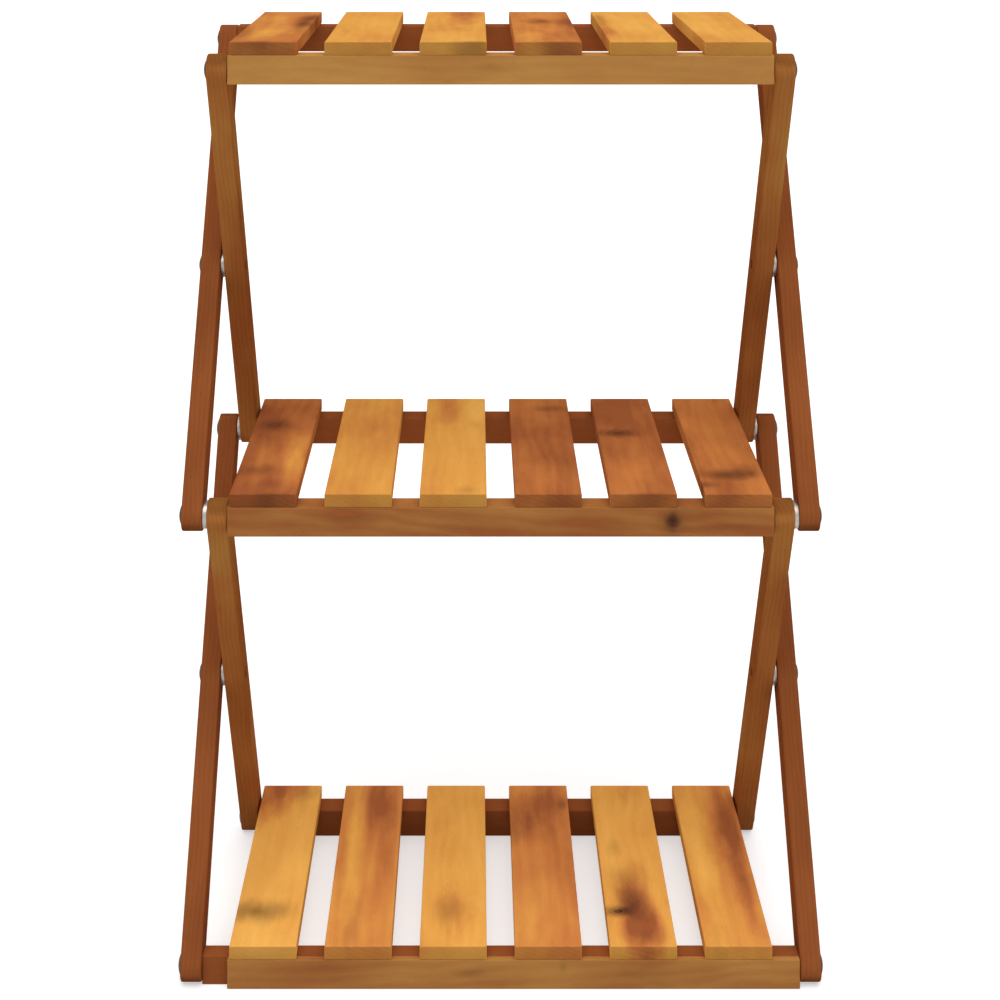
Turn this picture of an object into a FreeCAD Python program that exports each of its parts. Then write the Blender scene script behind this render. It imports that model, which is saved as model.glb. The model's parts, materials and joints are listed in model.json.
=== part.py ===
"""Folding wooden plant stand: three slatted shelves on a two-storey scissor frame.

X runs across the stand, the front faces -Y and +Z is up.  The origin is on the floor, midway between
the crossings of the scissor bars.  Lengths are in millimetres.
"""
import FreeCAD, Part
import os
import re
import Sketcher

doc = FreeCAD.newDocument("plant_stand")

# ---------------------------------------------------------------- driving dimensions
DIMENSIONS = [
    # the scissor frame
    ("mid_pivot_wall", 6.0, "from the middle pivots to the back of the front rail"),
    ("end_pivot_wall", 6.465, "from the foot and top pivots to the front of the rail between the feet"),
    ("pivot_step", 1.5, "how much less the pivots rise from level to level than the shelves do"),
    ("foot_gap", 1.0, "between the floor and the round ends of the lowest bars"),
    ("inner_bar_face", 242.6, "inner face of the inner bars, measured from the centre plane"),
    ("bar_thickness", 18.6, "thickness of every bar, across the stand"),
    ("bar_width", 28.0, "width of every bar, seen from the side"),
    ("bar_gap", 4.0, "space between an inner and an outer bar, filled by a washer"),
    ("bar_easing", 1.5, "rounding of the bars' edges"),
    # the shelves
    ("shelf_pitch", 400.0, "height from one shelf to the next"),
    ("slat_length", 260.0, "front to back"),
    ("slat_width", 59.4, "across the stand"),
    ("slat_thickness", 12.0, "thickness of a slat"),
    ("slat_inset", 1.875, "from the outermost slat's side to the end of a turning rail"),
    ("slat_easing", 1.0, "rounding of the slats' edges"),
    # the rails
    ("rail_height", 26.0, "height of the rails"),
    ("rail_depth", 23.0, "front to back, of the rails under the top and middle shelf and at the back"),
    ("rail_easing", 1.0, "rounding of the rails' edges"),
    ("back_rail_inset", 2.5, "how far the slats reach past the back rails"),
    ("lip_depth", 5.8, "front to back, of the bottom shelf's front lip"),
    ("cross_rail_depth", 15.0, "front to back, of the rail between the front feet"),
    # clearances
    ("side_gap", 0.4, "between the end of a turning rail and the bar beside it"),
    ("rest_gap", 0.2, "between a slat and a rail that only carries it"),
    ("lip_gap", 0.4, "between the lip and the rail that it hooks over"),
    ("face_gap", 0.1, "between flat faces that turn on each other"),
    ("pivot_clearance", 0.06, "radial, between a bolt and the holes that turn on it"),
    ("seat_clearance", 0.03, "radial, between a fixed fitting and its hole"),
    # bolts, washers and threaded inserts
    ("bolt_radius", 3.0, "radius of a pivot bolt's shank"),
    ("bolt_head_radius", 8.7, "radius of a pivot bolt's head"),
    ("bolt_head_height", 3.2, "height of the domed head"),
    ("bolt_head_rim", 1.0, "height of the straight rim under the dome"),
    ("washer_radius", 12.0, "outer radius of a washer"),
    ("insert_wall", 1.44, "thickness of a threaded insert's wall"),
    ("insert_length", 14.0, "length of a threaded insert"),
    ("bore_spare", 3.0, "depth of a bore past its insert"),
    # wood screws and pins
    ("screw_radius", 1.75, "radius of a wood screw's shank"),
    ("screw_head_radius", 3.6, "radius of a wood screw's head"),
    ("screw_head_height", 2.4, "height of a wood screw's head"),
    ("screw_recess", 6.0, "depth of the recess that takes a screw's head"),
    ("screw_grip", 9.0, "how far a screw reaches into its slat"),
    ("screw_spread", 20.0, "distance between the two screws of a slat"),
    ("lip_pin_radius", 1.2, "radius of a pin between slat and lip"),
    ("lip_pin_length", 20.0, "length of a pin between slat and lip"),
    ("lip_pin_in_slat", 7.0, "how far a pin reaches into its slat"),
]

SLATS_PER_SHELF = 6

sheet = doc.addObject("Spreadsheet::Sheet", "dims")
for row, (alias, value, meaning) in enumerate(DIMENSIONS, start=1):
    sheet.set(f"A{row}", alias)
    sheet.set(f"B{row}", str(value))
    sheet.set(f"C{row}", meaning)
    sheet.setAlias(f"B{row}", alias)
doc.recompute()


ANY_DIMENSION = re.compile(r"\b(" + "|".join(alias for alias, _, _ in DIMENSIONS) + r")\b")


def named(text):
    """Turn plain names of dimensions in an expression into references to the sheet's cells."""
    return ANY_DIMENSION.sub(r"dims.\1", text)


def value_of(text):
    """The present value of an expression in named dimensions."""
    result = sheet.evalExpression(named(text))
    return float(getattr(result, "Value", result))


# ---------------------------------------------------------------- derived places
MID_HALF_SPAN = "(slat_length / 2 - rail_depth + mid_pivot_wall)"
END_HALF_SPAN = "(slat_length / 2 - lip_depth - lip_gap - end_pivot_wall)"
PIVOT_RISE = "(shelf_pitch - pivot_step)"
BAR_RUN = f"({MID_HALF_SPAN} + {END_HALF_SPAN})"
CROSS_RISE = f"({PIVOT_RISE} * {MID_HALF_SPAN} / {BAR_RUN})"
BAR_LENGTH = f"sqrt({PIVOT_RISE} ^ 2 + {BAR_RUN} ^ 2)"
BAR_LEAN = f"atan({BAR_RUN} / {PIVOT_RISE})"

FOOT = "(bar_width / 2 + foot_gap)"
MIDDLE = f"({FOOT} + {PIVOT_RISE})"
TOP = f"({FOOT} + 2 * {PIVOT_RISE})"
LOWER_CROSS = f"({MIDDLE} - {CROSS_RISE})"
UPPER_CROSS = f"({MIDDLE} + {CROSS_RISE})"

# every pivot axis runs across the stand; each is given by its Y and Z
PIVOTS = {
    "foot_front": (f"-{END_HALF_SPAN}", FOOT),
    "foot_back": (END_HALF_SPAN, FOOT),
    "lower_cross": ("0", LOWER_CROSS),
    "middle_front": (f"-{MID_HALF_SPAN}", MIDDLE),
    "middle_back": (MID_HALF_SPAN, MIDDLE),
    "upper_cross": ("0", UPPER_CROSS),
    "top_front": (f"-{END_HALF_SPAN}", TOP),
    "top_back": (END_HALF_SPAN, TOP),
}

INNER_BAR_IN = "inner_bar_face"
INNER_BAR_OUT = "(inner_bar_face + bar_thickness)"
OUTER_BAR_IN = "(inner_bar_face + bar_thickness + bar_gap)"
OUTER_BAR_OUT = "(inner_bar_face + 2 * bar_thickness + bar_gap)"

SHELF_FRONT = "(-slat_length / 2)"
SHELF_FLOOR = {"bottom": "0", "middle": "shelf_pitch", "top": "(2 * shelf_pitch)"}
LOOSE_RAIL_HEIGHT = "(rail_height - rest_gap)"
BACK_RAIL_Y = "(slat_length / 2 - back_rail_inset - rail_depth)"
CROSS_RAIL_Y = f"({SHELF_FRONT} + lip_depth + lip_gap)"
TURNING_RAIL_HALF = "(inner_bar_face - side_gap)"
SLAT_PITCH = f"((2 * ({TURNING_RAIL_HALF} - slat_inset) - slat_width) / {SLATS_PER_SHELF - 1})"
INSERT_RADIUS = "(bolt_radius + pivot_clearance + insert_wall)"
PIVOT_HOLE = "(bolt_radius + pivot_clearance)"
INSERT_HOLE = f"({INSERT_RADIUS} + seat_clearance)"


# ---------------------------------------------------------------- modelling helpers
def new_body(label):
    """An empty body that will hold one node of the stand."""
    body = doc.addObject("PartDesign::Body", label)
    body.Label = label
    return body


def origin_feature(body, role):
    """A plane or axis of the body's own origin."""
    return next(item for item in body.Origin.OriginFeatures if item.Role == role)


def place(body, x="0", y="0", z="0", tilt=None):
    """Put the body's origin at x, y, z and turn it about X by tilt degrees."""
    body.Placement = FreeCAD.Placement(FreeCAD.Vector(), FreeCAD.Rotation(FreeCAD.Vector(1, 0, 0), 1))
    body.setExpression("Placement.Base.x", named(x))
    body.setExpression("Placement.Base.y", named(y))
    body.setExpression("Placement.Base.z", named(z))
    body.setExpression("Placement.Rotation.Angle", named(tilt or "0"))


def new_sketch(body, role, name, lift=None):
    """A sketch on a plane of the body's origin, or lift millimetres above it."""
    sketch = body.newObject("Sketcher::SketchObject", f"{body.Name}_{name}")
    sketch.AttachmentSupport = [(origin_feature(body, role), "")]
    sketch.MapMode = "FlatFace"
    if lift is not None:
        sketch.setExpression("AttachmentOffset.Base.z", named(lift))
    return sketch


def fix(sketch, kind, geometry, point, expression):
    """Hold one coordinate of a sketched point at an expression."""
    index = sketch.addConstraint(Sketcher.Constraint(kind, geometry, point, value_of(expression)))
    sketch.setExpression(f"Constraints[{index}]", named(expression))


def circle(sketch, x, y, radius):
    """A circle whose centre and radius are expressions."""
    centre = FreeCAD.Vector(value_of(x), value_of(y), 0)
    geometry = sketch.addGeometry(Part.Circle(centre, FreeCAD.Vector(0, 0, 1), value_of(radius)))
    fix(sketch, "DistanceX", geometry, 3, x)
    fix(sketch, "DistanceY", geometry, 3, y)
    index = sketch.addConstraint(Sketcher.Constraint("Radius", geometry, value_of(radius)))
    sketch.setExpression(f"Constraints[{index}]", named(radius))


def outline(sketch, corners, arcs=None):
    """A closed outline through corners given as expressions.

    arcs maps the number of the corner where an arc starts to the Y of its centre: such an arc turns
    anticlockwise to the next corner.  All other edges are straight.
    """
    arcs = arcs or {}
    points = [FreeCAD.Vector(value_of(x), value_of(y), 0) for x, y in corners]
    count = len(corners)
    edges = []
    for index, start in enumerate(points):
        end = points[(index + 1) % count]
        if index in arcs:
            edges.append(sketch.addGeometry(anticlockwise_arc(start, end, value_of(arcs[index]))))
        else:
            edges.append(sketch.addGeometry(Part.LineSegment(start, end)))
    for index, edge in enumerate(edges):
        following = edges[(index + 1) % count]
        sketch.addConstraint(Sketcher.Constraint("Coincident", edge, 2, following, 1))
    for index, (x, y) in enumerate(corners):
        fix(sketch, "DistanceX", edges[index], 1, x)
        fix(sketch, "DistanceY", edges[index], 1, y)
    for index, centre_y in arcs.items():
        fix(sketch, "DistanceY", edges[index], 3, centre_y)


def anticlockwise_arc(start, end, centre_y):
    """The arc from start to end whose centre lies at centre_y, equally far from both."""
    across = end.x - start.x
    if abs(across) < 1e-9:
        centre_x = start.x
    else:
        squares = end.x ** 2 - start.x ** 2 + (end.y - centre_y) ** 2 - (start.y - centre_y) ** 2
        centre_x = squares / (2 * across)
    centre = FreeCAD.Vector(centre_x, centre_y, 0)
    whole = Part.Circle(centre, FreeCAD.Vector(0, 0, 1), start.distanceToPoint(centre))
    return Part.ArcOfCircle(whole, whole.parameter(start), whole.parameter(end))


def pad(body, sketch, length, both_ways=False):
    """Thicken a sketch along its normal."""
    feature = body.newObject("PartDesign::Pad", f"{sketch.Name}_pad")
    feature.Profile = sketch
    feature.setExpression("Length", named(length))
    feature.SideType = "Symmetric" if both_ways else "One side"
    sketch.Visibility = False
    return feature


def pocket(body, sketch, depth, forwards=False):
    """Cut a sketch into the body, against its normal or, with forwards, along it."""
    feature = body.newObject("PartDesign::Pocket", f"{sketch.Name}_pocket")
    feature.Profile = sketch
    feature.Reversed = forwards
    feature.setExpression("Length", named(depth))
    return feature


def ease(body, base, radius):
    """Round every edge of the piece as it stands."""
    doc.recompute()
    feature = body.newObject("PartDesign::Fillet", f"{body.Name}_easing")
    feature.Base = (base, [f"Edge{number + 1}" for number in range(len(base.Shape.Edges))])
    feature.setExpression("Radius", named(radius))
    return feature


def mirrored(body, originals):
    """Repeat features on the other side of the body's own centre plane."""
    feature = body.newObject("PartDesign::Mirrored", f"{body.Name}_mirrored")
    feature.Originals = originals
    feature.MirrorPlane = (origin_feature(body, "YZ_Plane"), [""])
    body.Tip = feature
    return feature


def along_slats(body, originals):
    """Repeat features once for each slat of a shelf."""
    feature = body.newObject("PartDesign::LinearPattern", f"{body.Name}_{originals[0].Name}_row")
    feature.Originals = originals
    feature.Direction = (origin_feature(body, "X_Axis"), [""])
    feature.Occurrences = SLATS_PER_SHELF
    feature.setExpression("Length", named(f"{SLAT_PITCH} * {SLATS_PER_SHELF - 1}"))
    body.Tip = feature
    return feature


def slat_middle(number):
    """X of the middle of a slat, numbered from 1 at the left."""
    return f"({SLAT_PITCH} * {number - (SLATS_PER_SHELF + 1) / 2})"


# ---------------------------------------------------------------- bars
def make_bar(label, side, inner_face, lower_pivot, cross_at, leans_back, insert_at_cross):
    """One flat bar with round ends, a pivot hole at each end and one where the bars cross.

    It is drawn upright with its lower pivot at its own origin, then tilted about that pivot.
    """
    body = new_body(label)
    profile = new_sketch(body, "YZ_Plane", "side")
    half = "(bar_width / 2)"
    corners = [(f"-{half}", "0"), (half, "0"), (half, BAR_LENGTH), (f"-{half}", BAR_LENGTH)]
    outline(profile, corners, arcs={0: "0", 2: BAR_LENGTH})
    slab = pad(body, profile, "bar_thickness")
    ease(body, slab, "bar_easing")
    holes = new_sketch(body, "YZ_Plane", "holes")
    circle(holes, "0", "0", PIVOT_HOLE)
    circle(holes, "0", cross_at, INSERT_HOLE if insert_at_cross else PIVOT_HOLE)
    circle(holes, "0", BAR_LENGTH, PIVOT_HOLE)
    pocket(body, holes, "bar_thickness", forwards=True)
    y, z = PIVOTS[lower_pivot]
    x = inner_face if side > 0 else f"-({inner_face} + bar_thickness)"
    place(body, x, y, z, tilt=f"-{BAR_LEAN}" if leans_back else BAR_LEAN)
    return body


def make_bars():
    """Eight bars: an inner and an outer one on each side of each storey."""
    short_part = f"({BAR_LENGTH} * {MID_HALF_SPAN} / {BAR_RUN})"
    long_part = f"({BAR_LENGTH} * {END_HALF_SPAN} / {BAR_RUN})"
    storeys = [
        ("lower", "foot_front", "foot_back", long_part),
        ("upper", "middle_front", "middle_back", short_part),
    ]
    for side_name, side in (("left", -1), ("right", 1)):
        for storey, front_pivot, back_pivot, cross_at in storeys:
            make_bar(f"{storey}_outer_bar_{side_name}", side, OUTER_BAR_IN, front_pivot, cross_at,
                     leans_back=True, insert_at_cross=False)
            make_bar(f"{storey}_inner_bar_{side_name}", side, INNER_BAR_IN, back_pivot, cross_at,
                     leans_back=False, insert_at_cross=True)


# ---------------------------------------------------------------- rails
def make_rail(label, half_length, y, z, depth, height, pivot, screwed=False):
    """A rail across the stand, bored in both ends for the pivot bolts' inserts."""
    body = new_body(label)
    section = new_sketch(body, "YZ_Plane", "section")
    outline(section, [("0", "0"), (depth, "0"), (depth, height), ("0", height)])
    blank = pad(body, section, f"2 * {half_length}", both_ways=True)
    ease(body, blank, "rail_easing")
    bore_sketch = new_sketch(body, "YZ_Plane", "bore", lift=half_length)
    pivot_y, pivot_z = PIVOTS[pivot]
    circle(bore_sketch, f"{pivot_y} - {y}", f"{pivot_z} - {z}", INSERT_HOLE)
    bore = pocket(body, bore_sketch, "insert_length + bore_spare")
    mirrored(body, [bore])
    if screwed:
        cut_screw_holes(body, f"{depth} / 2", height)
    place(body, "0", y, z)
    return body


def cut_screw_holes(body, y, height):
    """Two screw holes with recessed heads under each slat, cut upwards from the rail's underside."""
    first = slat_middle(1)
    screws_x = (f"{first} - screw_spread / 2", f"{first} + screw_spread / 2")
    shanks = new_sketch(body, "XY_Plane", "screw_holes")
    recesses = new_sketch(body, "XY_Plane", "screw_recesses")
    for x in screws_x:
        circle(shanks, x, y, "screw_radius + seat_clearance")
        circle(recesses, x, y, "screw_head_radius + seat_clearance")
    hole = pocket(body, shanks, height, forwards=True)
    along_slats(body, [hole])
    recess = pocket(body, recesses, "screw_recess", forwards=True)
    along_slats(body, [recess])


def make_rails():
    """Three shelf rails that carry screws, and four that the shelves rest on or hook over."""
    for shelf, pivot in (("middle", "middle_front"), ("top", "top_front")):
        make_rail(f"{shelf}_front_rail", TURNING_RAIL_HALF, SHELF_FRONT, SHELF_FLOOR[shelf],
                  "rail_depth", "rail_height", pivot, screwed=True)
    make_rail("bottom_back_rail", TURNING_RAIL_HALF, BACK_RAIL_Y, SHELF_FLOOR["bottom"],
              "rail_depth", "rail_height", "foot_back", screwed=True)
    make_rail("middle_back_rail", INNER_BAR_IN, BACK_RAIL_Y, SHELF_FLOOR["middle"],
              "rail_depth", LOOSE_RAIL_HEIGHT, "middle_back")
    make_rail("top_back_rail", OUTER_BAR_IN, BACK_RAIL_Y, SHELF_FLOOR["top"],
              "rail_depth", LOOSE_RAIL_HEIGHT, "top_back")
    make_rail("front_foot_rail", OUTER_BAR_IN, CROSS_RAIL_Y, SHELF_FLOOR["bottom"],
              "cross_rail_depth", LOOSE_RAIL_HEIGHT, "foot_front")
    make_lip()


def make_lip():
    """The thin front board of the bottom shelf.

    Its left end is in line with the other front rails; its right end reaches across to the outer bar.
    """
    body = new_body("bottom_front_lip")
    section = new_sketch(body, "YZ_Plane", "section")
    outline(section, [("0", "0"), ("lip_depth", "0"), ("lip_depth", "rail_height"), ("0", "rail_height")])
    blank = pad(body, section, f"{TURNING_RAIL_HALF} + {OUTER_BAR_IN} - side_gap")
    ease(body, blank, "rail_easing")
    first_pin = new_sketch(body, "XY_Plane", "pin_hole", lift="rail_height")
    circle(first_pin, f"{TURNING_RAIL_HALF} + {slat_middle(1)}", "lip_depth / 2",
           "lip_pin_radius + seat_clearance")
    hole = pocket(body, first_pin, "lip_pin_length - lip_pin_in_slat")
    along_slats(body, [hole])
    place(body, f"-{TURNING_RAIL_HALF}", SHELF_FRONT, SHELF_FLOOR["bottom"])


# ---------------------------------------------------------------- slats
def make_slat(shelf, number):
    """One slat with two screw holes in its underside, over the rail that it is screwed to."""
    body = new_body(f"{shelf}_slat_{number}")
    face = new_sketch(body, "XY_Plane", "face")
    outline(face, [("0", "0"), ("slat_width", "0"), ("slat_width", "slat_length"), ("0", "slat_length")])
    board = pad(body, face, "slat_thickness")
    ease(body, board, "slat_easing")
    if shelf == "bottom":
        screw_y = "slat_length - back_rail_inset - rail_depth / 2"
    else:
        screw_y = "rail_depth / 2"
    pilots = new_sketch(body, "XY_Plane", "pilots")
    circle(pilots, "slat_width / 2 - screw_spread / 2", screw_y, "screw_radius + seat_clearance")
    circle(pilots, "slat_width / 2 + screw_spread / 2", screw_y, "screw_radius + seat_clearance")
    pocket(body, pilots, "screw_grip", forwards=True)
    if shelf == "bottom":
        pin_hole = new_sketch(body, "XY_Plane", "pin_hole")
        circle(pin_hole, "slat_width / 2", "lip_depth / 2", "lip_pin_radius + seat_clearance")
        pocket(body, pin_hole, "lip_pin_in_slat", forwards=True)
    place(body, f"{slat_middle(number)} - slat_width / 2", SHELF_FRONT,
          f"{SHELF_FLOOR[shelf]} + rail_height")
    return body


def make_slats():
    """Six slats on each of three shelves."""
    for shelf in ("bottom", "middle", "top"):
        for number in range(1, SLATS_PER_SHELF + 1):
            make_slat(shelf, number)


# ---------------------------------------------------------------- bolts, washers, inserts
def make_bolts(label, pivot, head_face, tip):
    """A pair of domed bolts, one on each side, on the same axis.

    head_face is the X of the underside of the head and tip the X of the shank's end.
    """
    body = new_body(label)
    profile = new_sketch(body, "XY_Plane", "profile")
    crown = f"{head_face} + bolt_head_height"
    rim = f"{head_face} + bolt_head_rim"
    corners = [(crown, "0"), (rim, "bolt_head_radius"), (head_face, "bolt_head_radius"),
               (head_face, "bolt_radius"), (tip, "bolt_radius"), (tip, "0")]
    outline(profile, corners, arcs={0: "0"})
    turned = body.newObject("PartDesign::Revolution", f"{label}_turned")
    turned.Profile = profile
    turned.ReferenceAxis = (origin_feature(body, "X_Axis"), [""])
    turned.Angle = 360
    mirrored(body, [turned])
    place(body, "0", *PIVOTS[pivot])
    return body


def make_rings(label, pivot, start, length, outer_radius, inner_radius):
    """A pair of rings on a pivot axis, one on each side: washers or threaded inserts."""
    body = new_body(label)
    profile = new_sketch(body, "YZ_Plane", "ring", lift=start)
    circle(profile, "0", "0", outer_radius)
    circle(profile, "0", "0", inner_radius)
    mirrored(body, [pad(body, profile, length)])
    place(body, "0", *PIVOTS[pivot])
    return body


def make_pivots():
    """Bolts at all eight axes, each in an insert; washers where an inner and an outer bar meet."""
    rail_end = {
        "foot_front": OUTER_BAR_IN, "foot_back": TURNING_RAIL_HALF,
        "middle_front": TURNING_RAIL_HALF, "middle_back": INNER_BAR_IN,
        "top_front": TURNING_RAIL_HALF, "top_back": OUTER_BAR_IN,
        "lower_cross": INNER_BAR_OUT, "upper_cross": INNER_BAR_OUT,
    }
    inner_only = ("foot_back", "top_front")
    with_washer = ("lower_cross", "middle_front", "middle_back", "upper_cross")
    for pivot, end in rail_end.items():
        outside = INNER_BAR_OUT if pivot in inner_only else OUTER_BAR_OUT
        head_face = f"({outside} + face_gap)"
        insert_start = f"({end} - insert_length)"
        make_bolts(f"{pivot}_bolts", pivot, head_face, insert_start)
        make_rings(f"{pivot}_inserts", pivot, insert_start, "insert_length", INSERT_RADIUS, PIVOT_HOLE)
        if pivot in with_washer:
            make_rings(f"{pivot}_washers", pivot, f"{INNER_BAR_OUT} + face_gap",
                       "bar_gap - 2 * face_gap", "washer_radius", PIVOT_HOLE)


def make_screws(shelf, rail_y):
    """The screws of one shelf, two for each slat, as one group."""
    body = new_body(f"{shelf}_shelf_screws")
    profile = new_sketch(body, "XZ_Plane", "profile")
    seat = "screw_recess"
    tip = "rail_height + screw_grip"
    corners = [("0", f"{seat} - screw_head_height"), ("screw_head_radius", f"{seat} - screw_head_height"),
               ("screw_head_radius", seat), ("screw_radius", seat),
               ("screw_radius", f"{tip} - screw_radius"), ("0", tip)]
    outline(profile, corners)
    turned = body.newObject("PartDesign::Revolution", f"{body.Name}_turned")
    turned.Profile = profile
    turned.ReferenceAxis = (origin_feature(body, "Z_Axis"), [""])
    turned.Angle = 360
    rows = body.newObject("PartDesign::LinearPattern", f"{body.Name}_rows")
    rows.Originals = [turned]
    rows.Direction = (origin_feature(body, "X_Axis"), [""])
    rows.Occurrences = 2
    rows.setExpression("Length", named("screw_spread"))
    rows.Direction2 = (origin_feature(body, "X_Axis"), [""])
    rows.Occurrences2 = SLATS_PER_SHELF
    rows.setExpression("Length2", named(f"{SLAT_PITCH} * {SLATS_PER_SHELF - 1}"))
    body.Tip = rows
    place(body, f"{slat_middle(1)} - screw_spread / 2", f"{rail_y} + rail_depth / 2", SHELF_FLOOR[shelf])


def make_lip_pins():
    """The headless pins between the bottom slats and the lip, one for each slat."""
    body = new_body("bottom_lip_pins")
    section = new_sketch(body, "XY_Plane", "section")
    circle(section, "0", "0", "lip_pin_radius")
    pin = pad(body, section, "lip_pin_length")
    along_slats(body, [pin])
    place(body, slat_middle(1), f"{SHELF_FRONT} + lip_depth / 2",
          "rail_height + lip_pin_in_slat - lip_pin_length")


# ---------------------------------------------------------------- build and check
def check_all():
    """Stop if any object failed or any node is empty or broken."""
    for item in doc.Objects:
        if "Invalid" in item.State or "Error" in item.State:
            raise RuntimeError(f"{item.Name} failed: {item.State}")
    for body in nodes():
        if body.Shape.isNull() or not body.Shape.isValid() or not body.Shape.Solids:
            raise RuntimeError(f"{body.Label} has no sound shape")


def nodes():
    """Every body of the document: each is one node."""
    return [item for item in doc.Objects if item.TypeId == "PartDesign::Body"]


def check_cuts():
    """Stop if a cut removed nothing, because it pointed away from its piece."""
    for body in nodes():
        for feature in body.Group:
            if feature.TypeId != "PartDesign::Pocket":
                continue
            removed = feature.BaseFeature.Shape.Volume - feature.Shape.Volume
            if removed < 1.0:
                raise RuntimeError(f"{feature.Name} cuts nothing")


def main():
    """Build every node, check the document and write one file for each node."""
    make_bars()
    make_rails()
    make_slats()
    make_pivots()
    for shelf in ("middle", "top"):
        make_screws(shelf, SHELF_FRONT)
    make_screws("bottom", BACK_RAIL_Y)
    make_lip_pins()
    doc.recompute()
    check_all()
    check_cuts()
    os.makedirs("parts", exist_ok=True)
    for body in nodes():
        body.Shape.exportStep(f"parts/{body.Label}.step")
    print(len(nodes()), "nodes,", sum(len(body.Shape.Solids) for body in nodes()), "solids")


main()
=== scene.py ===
"""Finish, light and camera for a folding wooden plant stand with three slatted shelves.

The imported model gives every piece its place.  Lengths are in metres.
"""
import json
import math

import bpy
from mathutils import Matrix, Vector


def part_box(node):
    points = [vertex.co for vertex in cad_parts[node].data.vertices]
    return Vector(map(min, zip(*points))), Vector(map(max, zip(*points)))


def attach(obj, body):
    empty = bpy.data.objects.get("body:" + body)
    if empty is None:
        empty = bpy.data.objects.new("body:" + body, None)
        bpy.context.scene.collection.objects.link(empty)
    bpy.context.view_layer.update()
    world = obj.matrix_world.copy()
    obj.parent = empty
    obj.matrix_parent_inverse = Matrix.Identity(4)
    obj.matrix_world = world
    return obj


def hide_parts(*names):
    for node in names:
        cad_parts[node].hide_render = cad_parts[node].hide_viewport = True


bl_info = {
    "name": "Folding Plant Stand",
    "version": (1, 0, 0),
    "blender": (4, 5, 0),
    "location": "3D View > Sidebar > Plant Stand",
    "description": "Slats, fittings, wood finishes, light and camera of a folding plant stand",
    "category": "Object",
}

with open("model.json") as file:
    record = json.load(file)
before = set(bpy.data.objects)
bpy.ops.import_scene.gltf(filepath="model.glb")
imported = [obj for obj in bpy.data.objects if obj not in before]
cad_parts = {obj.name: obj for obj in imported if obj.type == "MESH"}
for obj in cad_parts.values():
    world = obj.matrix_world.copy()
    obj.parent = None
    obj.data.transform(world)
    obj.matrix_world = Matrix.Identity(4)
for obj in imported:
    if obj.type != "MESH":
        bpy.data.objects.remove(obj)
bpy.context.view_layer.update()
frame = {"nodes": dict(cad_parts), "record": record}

SHELVES = ("top", "middle", "bottom")
SLATS = 6


def linear(code):
    """A colour written as on a paint chart, such as "C08A4C", in the renderer's linear values."""
    channels = [int(code[start:start + 2], 16) / 255 for start in (0, 2, 4)]
    return [c / 12.92 if c <= 0.04045 else ((c + 0.055) / 1.055) ** 2.4 for c in channels]


def extent(node):
    """Width, depth and height of a CAD node."""
    low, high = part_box(node)
    return high - low


def middle(node):
    """The middle of a CAD node's box."""
    low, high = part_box(node)
    return (low + high) / 2


# ---------------------------------------------------------------- sizes and colours
def length_property(name, description, default):
    """A length that a user can change."""
    return bpy.props.FloatProperty(name=name, description=description, default=default, min=0.0,
                                   unit="LENGTH", precision=5)


def colour_property(name, description, code):
    """A colour that a user can change."""
    return bpy.props.FloatVectorProperty(name=name, description=description, default=linear(code),
                                         min=0.0, max=1.0, size=3, subtype="COLOR")


class StandSizes(bpy.types.PropertyGroup):
    """Sizes of the pieces that are modelled here."""

    slat_easing: length_property("Slat Easing", "Rounding of the slats' edges", 0.0011)
    head_height: length_property("Bolt Head Height", "How far a bolt's head stands proud", 0.0032)
    head_dome: length_property("Bolt Dome", "Height of the domed part of a bolt's head", 0.0022)
    socket_width: length_property("Socket Width", "Width across the corners of a bolt's hex socket", 0.0058)
    socket_depth: length_property("Socket Depth", "Depth of a bolt's hex socket", 0.0018)
    shank_radius: length_property("Bolt Shank", "Radius of a bolt's shank", 0.003)
    insert_length: length_property("Insert Length", "Length of a threaded insert", 0.014)
    washer_hole: length_property("Washer Hole", "Radius of a washer's hole", 0.00306)
    screw_head: length_property("Screw Head", "Radius of a wood screw's head", 0.0036)
    screw_head_height: length_property("Screw Head Height", "Height of a wood screw's head", 0.0024)
    screw_shank: length_property("Screw Shank", "Radius of a wood screw's shank", 0.00175)
    screw_slot: length_property("Screw Slot", "Width of a wood screw's cross recess", 0.0009)
    screw_spread: length_property("Screw Spread", "Distance between the two screws of a slat", 0.020)


class StandColours(bpy.types.PropertyGroup):
    """Colours of the woods, the metals and the floor."""

    sapwood: colour_property("Sapwood", "Palest, golden wood of the slats", "F2B55A")
    golden: colour_property("Golden Wood", "Golden orange wood of the slats", "E3A04C")
    orange: colour_property("Orange Wood", "Orange brown wood of the slats", "CB7D42")
    heartwood: colour_property("Heartwood", "Darkest, red brown wood of the slats", "A25C35")
    smoke: colour_property("Smoky Streaks", "Dark clouds and knots in the wood", "4A2C22")
    rail: colour_property("Front Rails", "Tan wood of the front rails", "C8944F")
    rail_dark: colour_property("Front Rail Streaks", "Darker streaks of the front rails", "9C5C33")
    outer_bar: colour_property("Outer Bars", "Red brown wood of the outer bars and back rails", "A66034")
    outer_bar_dark: colour_property("Outer Bar Streaks", "Darker streaks of the outer bars", "763E20")
    inner_bar_pale: colour_property("Inner Bar Highlights", "Golden patches of the inner bars", "B58342")
    inner_bar: colour_property("Inner Bars", "Olive brown wood of the inner bars", "AA6A35")
    inner_bar_dark: colour_property("Inner Bar Streaks", "Darker streaks of the inner bars", "8E4D26")
    bolt: colour_property("Bolts", "Darkened steel of the bolts", "3D3A36")
    zinc: colour_property("Washers", "Zinc of the washers and screws", "A9A39C")
    brass: colour_property("Inserts", "Brass of the threaded inserts", "B8924A")
    floor: colour_property("Floor", "Plain pale floor", "DEDEDE")


def sizes():
    """The stand's sizes."""
    return bpy.context.scene.plant_stand_sizes


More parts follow.
